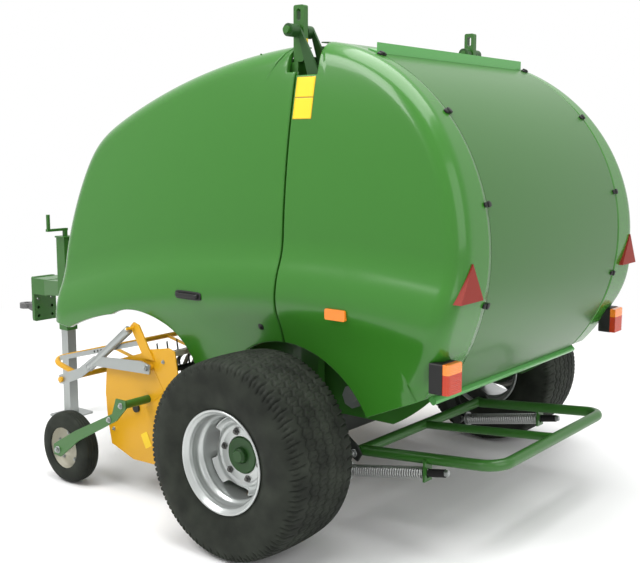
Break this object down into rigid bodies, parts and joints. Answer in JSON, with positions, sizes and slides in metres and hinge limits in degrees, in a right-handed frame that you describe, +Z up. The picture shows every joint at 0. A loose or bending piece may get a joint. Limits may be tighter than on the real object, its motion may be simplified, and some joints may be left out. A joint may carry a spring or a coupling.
{
  "type": "round baler",
  "caption": "Round baler with fixed chamber, tined pick-up with crop guard and gauge wheels, gull-wing side covers, hydraulic tailgate, bale ramp, drawbar with towing eye and parking jack",
  "frame": {"origin": "on the ground, midway between the towing eye's front and the bale ramp's rear edge, on the machine's centre plane", "axes": "+X the machine's left, +Y its rear, +Z up; the towing eye points to -Y"},
  "size_m": [2.586, 4.12, 2.33],
  "materials": {
    "green": "gloss",
    "green_shell": "gloss",
    "light_green": "gloss",
    "yellow": "gloss",
    "zinc": "matte",
    "dark_steel": "matte",
    "grey_cast": "matte",
    "rim_grey": "satin",
    "cream": "satin",
    "chrome": "polished",
    "tyre": "matte",
    "rubber": "matte",
    "black_plastic": "matte",
    "lens_red": "gloss",
    "reflector_red": "gloss",
    "amber": "gloss"
  },
  "bodies": {
    "frame": {"axle_beam": "dark_steel", "stub_axles": "dark_steel", "main_frame": "green", "side_plates": "green", "front_rollers": "zinc", "lift_brackets": "green", "drawbar": "green", "tow_eye": "grey_cast", "gearbox": "grey_cast", "jack_housing": "green", "hood": "green", "cover_hinges": "green", "ramp_carrier": "dark_steel"},
    "wheel_left": {"tyre_left": "tyre", "rim_left": "rim_grey", "hub_left": "light_green"},
    "wheel_right": {"tyre_right": "tyre", "rim_right": "rim_grey", "hub_right": "light_green"},
    "cover_left": {"side_cover_left": "green_shell"},
    "cover_right": {"side_cover_right": "green_shell"},
    "tailgate": {"tailgate_plates": "green", "tailgate_rollers": "zinc", "tailgate_sheet": "green", "tailgate_edges": "light_green", "tailgate_hinges": "dark_steel", "rear_shell_left": "green_shell", "rear_shell_right": "green_shell", "lamp_housings": "black_plastic", "lamp_lenses": "lens_red", "reflectors": "reflector_red", "side_markers": "amber"},
    "barrel_left": {"cylinder_barrel_left": "dark_steel"},
    "barrel_right": {"cylinder_barrel_right": "dark_steel"},
    "piston_left": {"cylinder_rod_left": "chrome"},
    "piston_right": {"cylinder_rod_right": "chrome"},
    "pickup": {"pickup_frame": "yellow", "stripper_bands": "zinc", "gauge_arms": "green"},
    "reel": {"reel_core": "dark_steel"},
    "guard": {"guard_arms": "zinc", "crop_guard": "yellow"},
    "gauge_wheel_left": {"gauge_tyre_left": "tyre", "gauge_rim_left": "cream"},
    "gauge_wheel_right": {"gauge_tyre_right": "tyre", "gauge_rim_right": "cream"},
    "jack": {"jack_leg": "zinc"},
    "ramp": {"bale_ramp": "green"},
    "ramp_links": {"ramp_rods": "zinc", "ramp_springs": "zinc", "ramp_buffers": "rubber"}
  },
  "joints": [
    {"name": "wheel_left_turn", "type": "hinge", "parent": "frame", "child": "wheel_left", "pos_m": [1.096, 1.14, 0.432], "axis": [1, 0, 0], "continuous": true},
    {"name": "wheel_right_turn", "type": "hinge", "parent": "frame", "child": "wheel_right", "pos_m": [-1.096, 1.14, 0.432], "axis": [1, 0, 0], "continuous": true},
    {"name": "cover_left_hinge", "type": "hinge", "parent": "frame", "child": "cover_left", "pos_m": [0.6, 0.92, 2.095], "axis": [0, -1, 0], "range_deg": [0, 45]},
    {"name": "cover_right_hinge", "type": "hinge", "parent": "frame", "child": "cover_right", "pos_m": [-0.6, 0.92, 2.095], "axis": [0, 1, 0], "range_deg": [0, 45]},
    {"name": "tailgate_hinge", "type": "hinge", "parent": "frame", "child": "tailgate", "pos_m": [0, 1.12, 2.22], "axis": [1, 0, 0], "range_deg": [0, 60]},
    {"name": "barrel_left_pivot", "type": "hinge", "parent": "frame", "child": "barrel_left", "pos_m": [0.7, 0.69, 1.1], "axis": [1, 0, 0], "range_deg": [-1, 3]},
    {"name": "barrel_right_pivot", "type": "hinge", "parent": "frame", "child": "barrel_right", "pos_m": [-0.7, 0.69, 1.1], "axis": [1, 0, 0], "range_deg": [-1, 3]},
    {"name": "rod_left_slide", "type": "slide", "parent": "barrel_left", "child": "piston_left", "axis": [0, 0.6106, 0.7919], "range_m": [0, 0.37]},
    {"name": "rod_right_slide", "type": "slide", "parent": "barrel_right", "child": "piston_right", "axis": [0, 0.6106, 0.7919], "range_m": [0, 0.37]},
    {"name": "pickup_pivot", "type": "hinge", "parent": "frame", "child": "pickup", "pos_m": [0, 0.54, 0.76], "axis": [-1, 0, 0], "range_deg": [0, 10]},
    {"name": "reel_turn", "type": "hinge", "parent": "pickup", "child": "reel", "pos_m": [0, 0.24, 0.44], "axis": [-1, 0, 0], "continuous": true},
    {"name": "guard_hinge", "type": "hinge", "parent": "pickup", "child": "guard", "pos_m": [0, 0.36, 0.665], "axis": [1, 0, 0], "range_deg": [-10, 5]},
    {"name": "gauge_left_turn", "type": "hinge", "parent": "pickup", "child": "gauge_wheel_left", "pos_m": [1.034, -0.178, 0.185], "axis": [1, 0, 0], "continuous": true},
    {"name": "gauge_right_turn", "type": "hinge", "parent": "pickup", "child": "gauge_wheel_right", "pos_m": [-1.034, -0.178, 0.185], "axis": [1, 0, 0], "continuous": true},
    {"name": "jack_slide", "type": "slide", "parent": "frame", "child": "jack", "axis": [0, 0, 1], "range_m": [0, 0.35]},
    {"name": "ramp_hinge", "type": "hinge", "parent": "frame", "child": "ramp", "pos_m": [0, 1.325, 0.339], "axis": [-1, 0, 0], "range_deg": [0, 15], "stiffness_Nm_per_rad": 400, "springref_deg": -34.38, "deforming": ["ramp_springs"]},
    {"name": "ramp_rod_hinge", "type": "hinge", "parent": "frame", "child": "ramp_links", "pos_m": [0, 1.21, 0.222], "axis": [-1, 0, 0], "range_deg": [-1, 13]}
  ],
  "couplings": [
    {"joint": "barrel_left_pivot", "follows": "tailgate_hinge", "ratio": 0.04},
    {"joint": "barrel_right_pivot", "follows": "tailgate_hinge", "ratio": 0.04},
    {"joint": "rod_left_slide", "follows": "tailgate_hinge", "m_per_rad": 0.352},
    {"joint": "rod_right_slide", "follows": "tailgate_hinge", "m_per_rad": 0.352},
    {"joint": "ramp_rod_hinge", "follows": "ramp_hinge", "ratio": 0.74}
  ]
}
